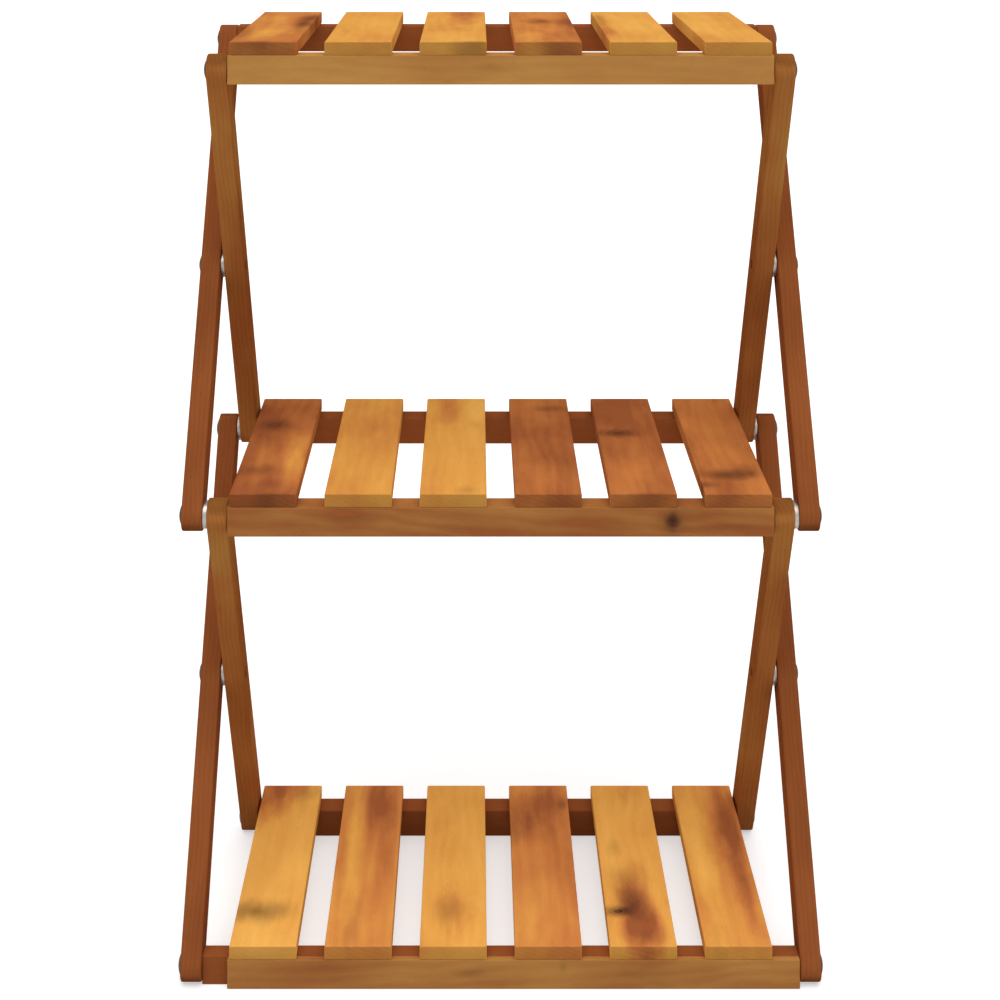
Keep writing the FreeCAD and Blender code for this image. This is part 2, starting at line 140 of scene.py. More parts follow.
def colours():
    """The stand's colours."""
    return bpy.context.scene.plant_stand_colours


# ---------------------------------------------------------------- node trees
class Graph:
    """Adds nodes to a tree; a value is either a number, a vector or another node's output."""

    def __init__(self, tree):
        self.tree = tree

    def put(self, socket, value):
        """Link an output to a socket, or set the socket's own value."""
        if isinstance(value, bpy.types.NodeSocket):
            self.tree.links.new(value, socket)
        else:
            socket.default_value = value

    def add(self, kind, inputs=None, **settings):
        """A node with its settings and its inputs, which are named or numbered."""
        node = self.tree.nodes.new(kind)
        for name, value in settings.items():
            setattr(node, name, value)
        for name, value in (inputs or {}).items():
            self.put(node.inputs[name], value)
        return node


class Shading(Graph):
    """A material's node tree, with the sums that the wood and the metals are made of."""

    def calc(self, operation, first, second=0.0, third=0.0, clamp=False):
        """One step of arithmetic on numbers."""
        inputs = {0: first, 1: second, 2: third}
        return self.add("ShaderNodeMath", inputs, operation=operation, use_clamp=clamp).outputs[0]

    def total(self, *values):
        """The sum of several numbers."""
        result = values[0]
        for value in values[1:]:
            result = self.calc("ADD", result, value)
        return result

    def centred(self, noise, swing):
        """Noise from 0 to 1 as a value that swings evenly about 0."""
        return self.calc("MULTIPLY_ADD", noise, swing, -swing / 2)

    def vector(self, operation, first, second, output="Vector"):
        """One step of arithmetic on vectors."""
        node = self.add("ShaderNodeVectorMath", {0: first, 1: second}, operation=operation)
        return node.outputs[output]

    def combine(self, x, y, z):
        """A vector from three numbers."""
        return self.add("ShaderNodeCombineXYZ", {0: x, 1: y, 2: z}).outputs[0]

    def noise(self, vector, detail=2.0, roughness=0.5):
        """Soft noise from 0 to 1."""
        inputs = {"Vector": vector, "Scale": 1.0, "Detail": detail, "Roughness": roughness}
        return self.add("ShaderNodeTexNoise", inputs).outputs["Fac"]

    def smooth(self, value, low, high, to_low=0.0, to_high=1.0):
        """A smooth step from to_low to to_high while value goes from low to high."""
        inputs = {"Value": value, "From Min": low, "From Max": high, "To Min": to_low, "To Max": to_high}
        return self.add("ShaderNodeMapRange", inputs, interpolation_type="SMOOTHSTEP").outputs[0]

    def mix(self, factor, first, second, blend="MIX"):
        """Two colours mixed by a factor."""
        node = self.add("ShaderNodeMix", data_type="RGBA", blend_type=blend)
        self.put(node.inputs["Factor"], factor)
        for socket, value in ((node.inputs[6], first), (node.inputs[7], second)):
            self.put(socket, value)
        return node.outputs[2]

    def ramp(self, value, stops, interpolation="LINEAR"):
        """A colour ramp through (place, colour) stops."""
        node = self.add("ShaderNodeValToRGB", {0: value})
        node.color_ramp.interpolation = interpolation
        elements = node.color_ramp.elements
        elements.remove(elements[1])
        for index, (place, colour) in enumerate(stops):
            element = elements[0] if index == 0 else elements.new(place)
            element.position = place
            element.color = opaque(colour)
        return node.outputs["Color"]


def opaque(colour):
    """A colour with its alpha."""
    return (*colour[:3], 1.0)


def new_material(name):
    """An empty material with its shader, and the graph that fills it in."""
    material = bpy.data.materials.new(name)
    material.use_nodes = True
    material.node_tree.nodes.clear()
    graph = Shading(material.node_tree)
    shader = graph.add("ShaderNodeBsdfPrincipled")
    output = graph.add("ShaderNodeOutputMaterial")
    graph.put(output.inputs["Surface"], shader.outputs[0])
    return material, graph, shader


# ---------------------------------------------------------------- wood
ACROSS_X = (1, 0, 0)
ALONG_Y = (0, 1, 0)
UP_Z = (0, 0, 1)

# Each kind of grain is noise drawn out along the board: cells per metre along and across it, a shift that
# keeps the kinds apart, detail and roughness.
GRAINS = {
    "clouds": (9.0, 22.0, 0.0, 3.0, 0.5),
    "warp": (7.0, 16.0, 11.0, 2.0, 0.5),
    "flare": (18.0, 45.0, 31.0, 3.0, 0.5),
    "fibre": (45.0, 1500.0, 5.0, 3.0, 0.65),
    "lines": (12.0, 420.0, 17.0, 2.0, 0.5),
    "pores": (140.0, 2600.0, 23.0, 1.0, 0.5),
    "smoky": (10.0, 34.0, 47.0, 3.0, 0.5),
}
# growth rings, in radians for each metre over and through the board, and how far clouds and knots bend them
RINGS_OVER = 520.0
RINGS_THROUGH = 1500.0
RING_WARP = 20.0
RINGS_AROUND_KNOT = 9.0
# how far each thing moves the colour between pale and dark
LINE_SWING = 0.11
FIBRE_SWING = 0.10
MARK_SWING = 0.5
# how ragged the edges of marks and of knots are
MARK_WOBBLE = 0.9
KNOT_WOBBLE = 0.35
# how far smoke covers the wood
HAZE = 0.20
PORE_HAZE = 0.22
SMOKE_MARK_HAZE = 0.75
KNOT_HAZE = 0.85
KNOT_RINGS = 24.0
KNOT_RING_HAZE = 0.09
# fibres lighten and darken the colour by this share, and end grain is darker
FIBRE_CONTRAST = 0.24
END_GRAIN_SHADE = 0.66
MATTE = 0.0
RELIEF = 0.0004


def mark_field(graph, board, mark, wobble):
    """1 in the middle of a mark and 0 outside it; mark is (along, over, half length, half width)."""
    along, over, half_length, half_width = mark[:4]
    away = graph.vector("SUBTRACT", board, (along, over, 0))
    scaled = graph.vector("MULTIPLY", away, (1 / half_length, 1 / half_width, 0))
    distance = graph.vector("LENGTH", scaled, (0, 0, 0), "Value")
    return graph.smooth(graph.calc("ADD", distance, wobble), 0.0, 1.0, 1.0, 0.0)


def mark_sum(graph, board, marks, wobble):
    """The fields of several marks together, each times its strength."""
    result = 0.0
    for mark in marks:
        field = mark_field(graph, board, mark, wobble)
        result = graph.calc("MULTIPLY_ADD", field, mark[4], result)
    return result


def wood(name, axes, stops, tone, tones=(), swing=0.5, ring=0.05, marks=None, roughness=0.5,
         painted_light=1.0, drift=0.0):
    """Matte wood whose grain runs along the first of three axes: along, over and through the board.

    stops are the colours from pale to dark.  tone is where on them the board lies; tones gives one for
    each slat instead.  swing is how far broad clouds move it and ring how far the growth rings do.
    The painted light level makes the whole board paler above 1 and darker below 1, standing in for the light
    that its shelf gets.  drift is how far the grain runs off its edge per metre.
    marks holds lists of red, gold, smoke and knot marks, in the board's own plane.
    """
    marks = marks or {}
    material, graph, shader = new_material(name)
    coordinates = graph.add("ShaderNodeTexCoord")
    place = coordinates.outputs["Object"]
    along, over, through = (graph.vector("DOT_PRODUCT", place, axis, "Value") for axis in axes)
    board = graph.combine(along, over, 0.0)
    drifting = graph.calc("MULTIPLY_ADD", along, drift, over)

    def grain(kind):
        """One kind of noise drawn out along the board."""
        per_along, per_over, shift, detail, rough = GRAINS[kind]
        vector = graph.combine(graph.calc("MULTIPLY_ADD", along, per_along, shift),
                               graph.calc("MULTIPLY", drifting, per_over),
                               graph.calc("MULTIPLY", through, per_over))
        return graph.noise(vector, detail, rough)

    fibre = grain("fibre")
    pores = grain("pores")

    wobble = graph.centred(grain("flare"), MARK_WOBBLE)
    knots = mark_sum(graph, board, marks.get("knot", ()), graph.calc("MULTIPLY", wobble, KNOT_WOBBLE))
    red = mark_sum(graph, board, marks.get("red", ()), wobble)
    gold = mark_sum(graph, board, marks.get("gold", ()), wobble)
    smoke = mark_sum(graph, board, marks.get("smoke", ()), wobble)

    phase = graph.total(graph.calc("MULTIPLY", drifting, RINGS_OVER),
                        graph.calc("MULTIPLY", through, RINGS_THROUGH),
                        graph.calc("MULTIPLY", grain("warp"), RING_WARP),
                        graph.calc("MULTIPLY", knots, RINGS_AROUND_KNOT))
    rings = graph.calc("SINE", phase)

    if tones:
        slat = graph.add("ShaderNodeAttribute", attribute_name="slat").outputs["Fac"]
        steps = [(index / SLATS, (level, level, level)) for index, level in enumerate(tones)]
        tone = graph.ramp(graph.calc("MULTIPLY_ADD", slat, 1 / SLATS, 0.5 / SLATS), steps, "CONSTANT")
    level = graph.total(
        graph.centred(grain("clouds"), swing),
        graph.calc("MULTIPLY", rings, ring / 2),
        graph.centred(grain("lines"), LINE_SWING),
        graph.centred(fibre, FIBRE_SWING),
        graph.calc("MULTIPLY", red, MARK_SWING),
        graph.calc("MULTIPLY", gold, -MARK_SWING), tone)
    colour = graph.ramp(level, stops)

    facing = graph.vector("DOT_PRODUCT", coordinates.outputs["Normal"], axes[0], "Value")
    end_grain = graph.smooth(graph.calc("ABSOLUTE", facing), 0.6, 0.95, 1.0, END_GRAIN_SHADE)
    # painted light: the fibre shade is scaled by the board's painted light level, which makes the whole board
    # paler or darker
    darkest = painted_light * (1.0 - FIBRE_CONTRAST / 2)
    fine = graph.calc("MULTIPLY_ADD", fibre, FIBRE_CONTRAST * painted_light, darkest)
    fine = graph.calc("MULTIPLY", fine, end_grain)
    colour = graph.mix(1.0, colour, graph.combine(fine, fine, fine), "MULTIPLY")
    haze = graph.total(graph.smooth(grain("smoky"), 0.60, 0.80, 0.0, HAZE),
                       graph.calc("MULTIPLY", smoke, SMOKE_MARK_HAZE),
                       graph.smooth(pores, 0.66, 0.74, 0.0, PORE_HAZE),
                       graph.calc("MULTIPLY", knots, KNOT_HAZE))
    knot_rings = graph.calc("MULTIPLY", graph.calc("SINE", graph.calc("MULTIPLY", knots, KNOT_RINGS)),
                            graph.calc("MULTIPLY", knots, KNOT_RING_HAZE))
    haze = graph.calc("ADD", haze, knot_rings, clamp=True)
    colour = graph.mix(haze, colour, opaque(colours().smoke))

    graph.put(shader.inputs["Base Color"], colour)
    graph.put(shader.inputs["Roughness"], graph.smooth(fibre, 0.2, 0.8, roughness - 0.07, roughness + 0.1))
    shader.inputs["Specular IOR Level"].default_value = MATTE
    relief = graph.total(graph.calc("MULTIPLY", fibre, 0.6), graph.calc("MULTIPLY", rings, 0.1),
                         graph.smooth(pores, 0.62, 0.74, 0.0, -0.5))
    bump = graph.add("ShaderNodeBump", {"Strength": 0.35, "Distance": RELIEF, "Height": relief})
    graph.put(shader.inputs["Normal"], bump.outputs[0])
    return material


def slat_stops():
    """The slats' colours from sapwood to heartwood."""
    c = colours()
    return [(0.0, c.sapwood), (0.35, c.golden), (0.68, c.orange), (1.0, c.heartwood)]


# Where each shelf's slats lie between pale and dark, from left to right, and how much painted light each
# shelf gets in all: the lower shelves are painted paler to undo the shade that the shelves above cast on
# them, and the top one a little darker.
SLAT_TONES = {
    "top": (0.66, 0.36, 0.32, 0.70, 0.26, 0.32),
    "middle": (0.90, 0.44, 0.26, 0.88, 0.88, 0.78),
    "bottom": (0.16, 0.56, 0.26, 0.62, 0.32, 0.48),
}
# painted light: each shelf's slats are painted paler or darker in all, undoing the shade that the shelves
# above cast on the lower ones
SLAT_PAINTED_LIGHT = {"top": 0.98, "middle": 1.03, "bottom": 1.12}
# Marks are placed along the slats (from the middle towards the back) and across the stand, with their
# half length, half width and strength.
SLAT_MARKS = {
    "top": {
        "red": [(0.06, -0.190, 0.10, 0.022, 0.8), (0.10, -0.035, 0.16, 0.024, 0.9),
                (0.06, 0.066, 0.14, 0.016, 0.5), (-0.02, 0.100, 0.13, 0.016, 0.7)],
        "gold": [(-0.05, -0.215, 0.08, 0.03, 0.5), (-0.10, 0.03, 0.07, 0.02, 0.5)],
        "smoke": [(0.03, -0.188, 0.12, 0.010, 0.55), (0.04, 0.040, 0.035, 0.020, 0.75),
                  (-0.07, -0.235, 0.08, 0.010, 0.45), (0.02, 0.070, 0.10, 0.008, 0.35),
                  (0.06, 0.102, 0.07, 0.008, 0.4), (-0.131, -0.215, 0.012, 0.034, 0.50),
                  (-0.131, -0.028, 0.010, 0.026, 0.50), (-0.131, 0.050, 0.007, 0.026, 0.50)],
    },
    "middle": {
        "red": [(0.049, -0.2205, 0.04, 0.030, 0.4), (0.10, -0.049, 0.09, 0.022, 0.8),
                (0.10, 0.120, 0.08, 0.03, 0.4), (-0.10, 0.205, 0.06, 0.03, 0.3)],
        "gold": [(-0.05, -0.220, 0.08, 0.02, 0.45), (-0.04, -0.192, 0.10, 0.022, 0.8),
                 (0.10, -0.020, 0.06, 0.015, 0.5)],
        "smoke": [(-0.072, -0.225, 0.024, 0.040, 0.55), (-0.105, -0.205, 0.02, 0.020, 0.25),
                  (-0.045, 0.035, 0.05, 0.020, 0.20), (-0.084, 0.207, 0.018, 0.036, 0.85),
                  (-0.070, 0.228, 0.020, 0.016, 0.45), (-0.108, 0.184, 0.014, 0.018, 0.75),
                  (-0.120, -0.030, 0.016, 0.016, 0.30), (0.098, 0.052, 0.016, 0.026, 0.55),
                  (-0.06, 0.062, 0.05, 0.016, 0.30), (-0.131, -0.205, 0.008, 0.024, 0.60),
                  (-0.131, 0.128, 0.008, 0.032, 0.60)],
        "knot": [(0.049, -0.2205, 0.026, 0.024, 0.70), (0.026, 0.116, 0.018, 0.034, 0.85)],
    },
    "bottom": {
        "red": [(0.125, -0.225, 0.085, 0.045, 1.9), (0.11, -0.120, 0.09, 0.028, 0.7),
                (0.00, -0.110, 0.15, 0.014, 0.35), (-0.07, -0.040, 0.06, 0.030, 0.5),
                (-0.075, 0.127, 0.09, 0.028, 1.3), (0.09, 0.040, 0.07, 0.036, 0.9),
                (-0.10, 0.125, 0.04, 0.034, 0.5), (0.05, 0.228, 0.16, 0.020, 0.9),
                (-0.05, 0.230, 0.12, 0.016, 0.5)],
        "gold": [(0.03, -0.140, 0.16, 0.014, 0.8), (0.00, 0.195, 0.15, 0.018, 0.7),
                 (0.03, 0.105, 0.12, 0.014, 0.3)],
        "smoke": [(-0.080, -0.222, 0.026, 0.042, 0.90), (-0.035, 0.120, 0.040, 0.028, 0.45),
                  (-0.071, 0.122, 0.036, 0.026, 1.00), (-0.115, 0.130, 0.020, 0.030, 0.25),
                  (0.095, 0.066, 0.018, 0.010, 0.55), (0.115, -0.196, 0.025, 0.020, 0.35),
                  (0.060, 0.015, 0.05, 0.010, 0.25), (-0.080, -0.045, 0.035, 0.026, 0.40),
                  (0.02, 0.112, 0.022, 0.012, 0.25)],
        "knot": [(-0.080, 0.108, 0.013, 0.020, 0.95)],
    },
}
# The marks of the rails are placed across the stand and upwards.
MIDDLE_RAIL_MARKS = {
    "knot": [(0.152, 0.4145, 0.0100, 0.0125, 0.78)],
    "smoke": [(0.152, 0.4140, 0.021, 0.019, 0.45), (0.205, 0.409, 0.05, 0.004, 0.25),
              (-0.13, 0.415, 0.04, 0.005, 0.25)],
}
BAR_TONES = {"outer": 0.45, "inner": 0.62}
# these lie along the bars and across them, both measured from the stand's own origin
BAR_MARKS = {
    "outer": {},
    "inner": {
        "gold": [(0.69, 0.305, 0.13, 0.05, 0.7), (0.40, 0.109, 0.09, 0.05, 0.6),
                 (0.08, 0.112, 0.09, 0.02, 0.7), (0.33, 0.312, 0.05, 0.02, 0.6)],
        "red": [(0.46, 0.305, 0.12, 0.05, 0.35), (0.22, 0.109, 0.10, 0.05, 0.2)],
        "smoke": [(0.60, 0.300, 0.05, 0.012, 0.35), (0.72, 0.312, 0.03, 0.008, 0.35)],
    },
}
LIP_MARKS = {"smoke": [(-0.03, 0.015, 0.018, 0.006, 0.30), (0.055, 0.020, 0.006, 0.008, 0.30)]}


def bar_axes(kind):
    """The grain, width and thickness directions of the inner or the outer bars, from their pivots."""
    rise = middle("middle_back_bolts") - middle("foot_front_bolts")
    lean = math.atan2(rise.y, rise.z)
    if kind == "inner":
        lean = -lean
    return (0, math.sin(lean), math.cos(lean)), (0, math.cos(lean), -math.sin(lean)), ACROSS_X


# ---------------------------------------------------------------- metals
def metal(name, colour, roughness, wear=0.25, scale=900.0):
    """Satin metal with fine turning marks and slightly uneven tarnish."""
    material, graph, shader = new_material(name)
    place = graph.add("ShaderNodeTexCoord").outputs["Object"]
    tarnish = graph.noise(graph.vector("MULTIPLY", place, (scale * 0.2,) * 3), 3.0, 0.6)
    specks = graph.noise(graph.vector("MULTIPLY", place, (scale * 3,) * 3), 2.0)
    tint = graph.smooth(tarnish, 0.3, 0.7, 1.0 - wear, 1.0 + wear)
    shade = graph.mix(1.0, opaque(colour), graph.combine(tint, tint, tint), "MULTIPLY")
    graph.put(shader.inputs["Base Color"], shade)
    shader.inputs["Metallic"].default_value = 1.0
    graph.put(shader.inputs["Roughness"], graph.smooth(tarnish, 0.2, 0.8, roughness + 0.12, roughness - 0.08))
    bump = graph.add("ShaderNodeBump", {"Strength": 0.15, "Distance": 0.0001, "Height": specks})
    graph.put(shader.inputs["Normal"], bump.outputs[0])
    return material


# ---------------------------------------------------------------- geometry nodes
class Shaping(Graph):
    """A geometry node tree with named inputs."""

    def __init__(self, name):
        super().__init__(bpy.data.node_groups.new(name, "GeometryNodeTree"))
        self.tree.interface.new_socket("Geometry", in_out="OUTPUT", socket_type="NodeSocketGeometry")
        self.entry = self.tree.nodes.new("NodeGroupInput")
        self.values = {}

    def input(self, name, value, kind="NodeSocketFloat"):
        """A named input of the tree and the value that its modifier gets."""
        self.tree.interface.new_socket(name, in_out="INPUT", socket_type=kind)
        self.values[name] = value
        return self.entry.outputs[name]

    def calc(self, operation, first, second=0.0):
        """One step of arithmetic on numbers."""
        return self.add("ShaderNodeMath", {0: first, 1: second}, operation=operation).outputs[0]

    def combine(self, x, y, z):
        """A vector from three numbers."""
        return self.add("ShaderNodeCombineXYZ", {0: x, 1: y, 2: z}).outputs[0]

    def cylinder(self, radius, depth, base=0.0, sides=48):
        """A cylinder on the Z axis that stands on a base height."""
        inputs = {"Vertices": sides, "Radius": radius, "Depth": depth}
        mesh = self.add("GeometryNodeMeshCylinder", inputs).outputs["Mesh"]
        lift = self.calc("ADD", self.calc("MULTIPLY", depth, 0.5), base)
        return self.moved(mesh, self.combine(0.0, 0.0, lift))

    def moved(self, mesh, by, turn=(0, 0, 0), scale=(1, 1, 1)):
        """A mesh turned, scaled and moved."""
        inputs = {"Geometry": mesh, "Translation": by, "Rotation": turn, "Scale": scale}
        return self.add("GeometryNodeTransform", inputs).outputs[0]

    def joined(self, *meshes):
        """Several meshes as one."""
        node = self.add("GeometryNodeJoinGeometry")
        for mesh in meshes:
            self.tree.links.new(mesh, node.inputs[0])
        return node.outputs[0]

    def without(self, mesh, *cutters):
        """A mesh with others cut out of it."""
        node = self.add("GeometryNodeMeshBoolean", {"Mesh 1": mesh}, operation="DIFFERENCE", solver="EXACT")
        for cutter in cutters:
            self.tree.links.new(cutter, node.inputs["Mesh 2"])
        return node.outputs[0]

    def common(self, *meshes):
        """What several meshes have in common."""
        node = self.add("GeometryNodeMeshBoolean", operation="INTERSECT", solver="EXACT")
        for mesh in meshes:
            self.tree.links.new(mesh, node.inputs["Mesh 2"])
        return node.outputs[0]

    def row(self, mesh, count, start, step, number=None):
        """Copies of a mesh in a row; number names an attribute that holds each copy's number."""
        points = self.add("GeometryNodeMeshLine", {"Count": count, "Start Location": start, "Offset": step})
        copies = self.add("GeometryNodeInstanceOnPoints", {"Points": points.outputs[0], "Instance": mesh})
        result = copies.outputs[0]
        if number:
            index = self.add("GeometryNodeInputIndex").outputs[0]
            inputs = {"Geometry": result, "Name": number, "Value": index}
            store = self.add("GeometryNodeStoreNamedAttribute", inputs, data_type="FLOAT", domain="INSTANCE")
            result = store.outputs[0]
        return self.add("GeometryNodeRealizeInstances", {0: result}).outputs[0]

    def finish(self, mesh, material):
        """End the tree with realized instances and one material."""
        real = self.add("GeometryNodeRealizeInstances", {0: mesh}).outputs[0]
        painted = self.add("GeometryNodeSetMaterial", {"Geometry": real, "Material": material}).outputs[0]
        end = self.tree.nodes.new("NodeGroupOutput")
        self.tree.links.new(painted, end.inputs[0])

    def piece(self, name, material, easing=0.0, smooth_angle=math.radians(35)):
        """The tree's result as a plain mesh object, with its edges eased if asked."""
        holder = bpy.data.objects.new(name + "_holder", bpy.data.meshes.new(name + "_holder"))
        bpy.context.scene.collection.objects.link(holder)
        modifier = holder.modifiers.new("Shape", "NODES")
        modifier.node_group = self.tree
        for socket in self.tree.interface.items_tree:
            if socket.in_out == "INPUT":
                modifier[socket.identifier] = self.values[socket.name]
        if easing:
            bevel = holder.modifiers.new("Easing", "BEVEL")
            bevel.width = easing
            bevel.segments = 3
        evaluated = holder.evaluated_get(bpy.context.evaluated_depsgraph_get())
        mesh = bpy.data.meshes.new_from_object(evaluated)
        bpy.data.objects.remove(holder)
        if not mesh.polygons:
            raise RuntimeError(f"{name} came out empty")
        mesh.materials.clear()
        mesh.materials.append(material)
        mesh.shade_smooth()
        mesh.set_sharp_from_angle(angle=smooth_angle)
        piece = bpy.data.objects.new(name, mesh)
        bpy.context.scene.collection.objects.link(piece)
        return piece


def stand_in(piece, body, slot, *nodes):
    """Let a piece take the place of CAD nodes on their body."""
    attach(piece, body)
    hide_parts(*nodes)


def body_of_node(node):
    """The name of the CAD body that holds a node."""
    bodies = frame["record"]["behaviour"]["bodies"]
    return next(body for body, members in bodies.items() if node in members)


def paint(node, material):
    """Give a CAD node a finish."""
    mesh = frame["nodes"][node].data
    mesh.materials.clear()
    mesh.materials.append(material)


# ---------------------------------------------------------------- operators
class PLANT_STAND_OT_slats(bpy.types.Operator):
    """Lay six eased slats on each of the three shelves"""

    bl_idname = "plant_stand.slats"
    bl_label = "Slats"

    def execute(self, context):
        """Build and finish the slats of every shelf."""
        for shelf in SHELVES:
            nodes = [f"{shelf}_slat_{number}" for number in range(1, SLATS + 1)]
            first, second = middle(nodes[0]), middle(nodes[1])
            size = extent(nodes[0])
            axes = (ALONG_Y, ACROSS_X, UP_Z)
            # the slats' colour carries painted light, paler on the lower shelves to undo the shade from the
            # shelves above
            material = wood(f"{shelf} slat acacia", axes, slat_stops(), 0.5, tones=SLAT_TONES[shelf],
                            swing=0.75, marks=SLAT_MARKS[shelf], roughness=0.48, painted_light=SLAT_PAINTED_LIGHT[shelf])
            shape = Shaping(f"{shelf} slats")
            board = shape.combine(shape.input("Width", size.x), shape.input("Length", size.y),
                                  shape.input("Thickness", size.z))
            box = shape.add("GeometryNodeMeshCube", {"Size": board}).outputs["Mesh"]
            start = shape.input("First Slat", first, "NodeSocketVector")
            step = shape.combine(shape.input("Pitch", second.x - first.x), 0.0, 0.0)
            count = shape.input("Slats", SLATS, "NodeSocketInt")
            shape.finish(shape.row(box, count, start, step, number="slat"), material)
            piece = shape.piece(f"{shelf}_slats", material, easing=sizes().slat_easing)
            stand_in(piece, body_of_node(nodes[0]), "slat_wood", *nodes)
        return {"FINISHED"}


class PLANT_STAND_OT_rails(bpy.types.Operator):
    """Finish the rails across the stand"""

    bl_idname = "plant_stand.rails"
    bl_label = "Rails"

    def execute(self, context):
        """Paint the front rails tan and the others red brown."""
        c = colours()
        axes = (ACROSS_X, UP_Z, ALONG_Y)
        tan = [(0.0, c.rail), (0.7, c.rail_dark), (1.0, c.heartwood)]
        red = [(0.0, c.outer_bar), (0.8, c.outer_bar_dark), (1.0, c.smoke)]
        top = wood("top rail acacia", axes, tan, 0.22, swing=0.7, ring=0.06, drift=0.02)
        middle_rail = wood("middle rail acacia", axes, tan, 0.58, swing=1.0, ring=0.10, drift=0.07,
                           marks=MIDDLE_RAIL_MARKS)
        lip = wood("lip acacia", axes, tan, 0.40, swing=1.0, ring=0.08, drift=-0.06, marks=LIP_MARKS)
        paint("top_front_rail", top)
        paint("middle_front_rail", middle_rail)
        paint("bottom_front_lip", lip)
        back = wood("back rail acacia", axes, red, 0.35)
        for node in ("top_back_rail", "middle_back_rail", "bottom_back_rail", "front_foot_rail"):
            paint(node, back)
        return {"FINISHED"}


class PLANT_STAND_OT_bars(bpy.types.Operator):
    """Finish the eight crossed bars"""

    bl_idname = "plant_stand.bars"
    bl_label = "Bars"

    def execute(self, context):
        """Paint the outer bars red brown and the inner ones olive brown, with the grain along them."""
        c = colours()
        stops = {
            "outer": [(0.0, c.outer_bar), (1.0, c.outer_bar_dark)],
            "inner": [(0.0, c.inner_bar_pale), (0.45, c.inner_bar), (1.0, c.inner_bar_dark)],
        }
        for kind, ramp in stops.items():
            material = wood(f"{kind} bar acacia", bar_axes(kind), ramp, BAR_TONES[kind], swing=1.1, ring=0.12,
                            marks=BAR_MARKS[kind])
            for storey in ("lower", "upper"):
                for side in ("left", "right"):
                    paint(f"{storey}_{kind}_bar_{side}", material)
        return {"FINISHED"}


class PLANT_STAND_OT_bolts(bpy.types.Operator):
    """Turn a domed socket bolt for each end of every pivot axis"""

    bl_idname = "plant_stand.bolts"
    bl_label = "Bolts"

    def execute(self, context):
        """Build one pair of bolts for each axis."""
        s = sizes()
        material = metal("dark steel", colours().bolt, 0.42)
        for node in sorted(name for name in frame["nodes"] if name.endswith("_bolts")):
            size, centre = extent(node), middle(node)
            insert = extent(node.replace("_bolts", "_inserts"))
            crown = size.x / 2
            shape = Shaping(node)
            radius = shape.input("Head Radius", size.z / 2)
            height = shape.input("Head Height", s.head_height)
            dome = shape.input("Dome Height", s.head_dome)
            # the sphere that passes through the head's rim and its crown
            squares = shape.calc("ADD", shape.calc("POWER", radius, 2.0), shape.calc("POWER", dome, 2.0))
            ball_radius = shape.calc("DIVIDE", squares, shape.calc("MULTIPLY", dome, 2.0))
            ball = shape.add("GeometryNodeMeshUVSphere", {"Segments": 48, "Rings": 48, "Radius": ball_radius})
            sink = shape.combine(0.0, 0.0, shape.calc("SUBTRACT", height, ball_radius))
            lowered = shape.moved(ball.outputs[0], sink)
            head = shape.common(shape.cylinder(radius, height), lowered)
            depth = shape.input("Socket Depth", s.socket_depth)
            socket_radius = shape.calc("MULTIPLY", shape.input("Socket Width", s.socket_width), 0.5)
            socket = shape.cylinder(socket_radius, shape.calc("MULTIPLY", depth, 2.0),
                                    shape.calc("SUBTRACT", height, depth), sides=6)
            head = shape.without(head, socket)
            tip = insert.x / 2 - s.insert_length
            length = shape.input("Shank Length", crown - s.head_height - tip)
            shank = shape.cylinder(shape.input("Shank Radius", s.shank_radius), length,
                                   shape.calc("MULTIPLY", length, -1.0), 24)
            bolt = shape.joined(head, shank)
            seat = shape.input("Head Seat", crown - s.head_height)
            axis_y, axis_z = shape.input("Axis Y", centre.y), shape.input("Axis Z", centre.z)
            right = shape.moved(bolt, shape.combine(seat, axis_y, axis_z), (0, math.pi / 2, 0))
            left = shape.moved(bolt, shape.combine(shape.calc("MULTIPLY", seat, -1.0), axis_y, axis_z),
                               (0, -math.pi / 2, 0))
            shape.finish(shape.joined(left, right), material)
            stand_in(shape.piece(f"{node}_domed", material), body_of_node(node), "bolt_steel", node)
        return {"FINISHED"}


class PLANT_STAND_OT_washers(bpy.types.Operator):
    """Stamp the washers between the inner and the outer bars"""

    bl_idname = "plant_stand.washers"
    bl_label = "Washers"

    def execute(self, context):
        """Build one pair of washers for each axis that has them."""
        material = metal("zinc", colours().zinc, 0.38, wear=0.12)
        bar_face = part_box("lower_inner_bar_right")[1].x
        for node in sorted(name for name in frame["nodes"] if name.endswith("_washers")):
            size, centre = extent(node), middle(node)
            thickness = size.x / 2 - bar_face
            shape = Shaping(node)
            gap = shape.input("Thickness", thickness)
            ring = shape.without(shape.cylinder(shape.input("Outer Radius", size.z / 2), gap),
                                 shape.cylinder(shape.input("Hole Radius", sizes().washer_hole),
                                                shape.calc("MULTIPLY", gap, 3.0),
                                                shape.calc("MULTIPLY", gap, -1.0), 32))
            seat = shape.input("Seat", bar_face)
            axis_y, axis_z = shape.input("Axis Y", centre.y), shape.input("Axis Z", centre.z)
            right = shape.moved(ring, shape.combine(seat, axis_y, axis_z), (0, math.pi / 2, 0))
            left = shape.moved(ring, shape.combine(shape.calc("MULTIPLY", seat, -1.0), axis_y, axis_z),
                               (0, -math.pi / 2, 0))
            shape.finish(shape.joined(left, right), material)
            stand_in(shape.piece(f"{node}_stamped", material, easing=0.0003), body_of_node(node),
                     "washer_steel", node)
        return {"FINISHED"}


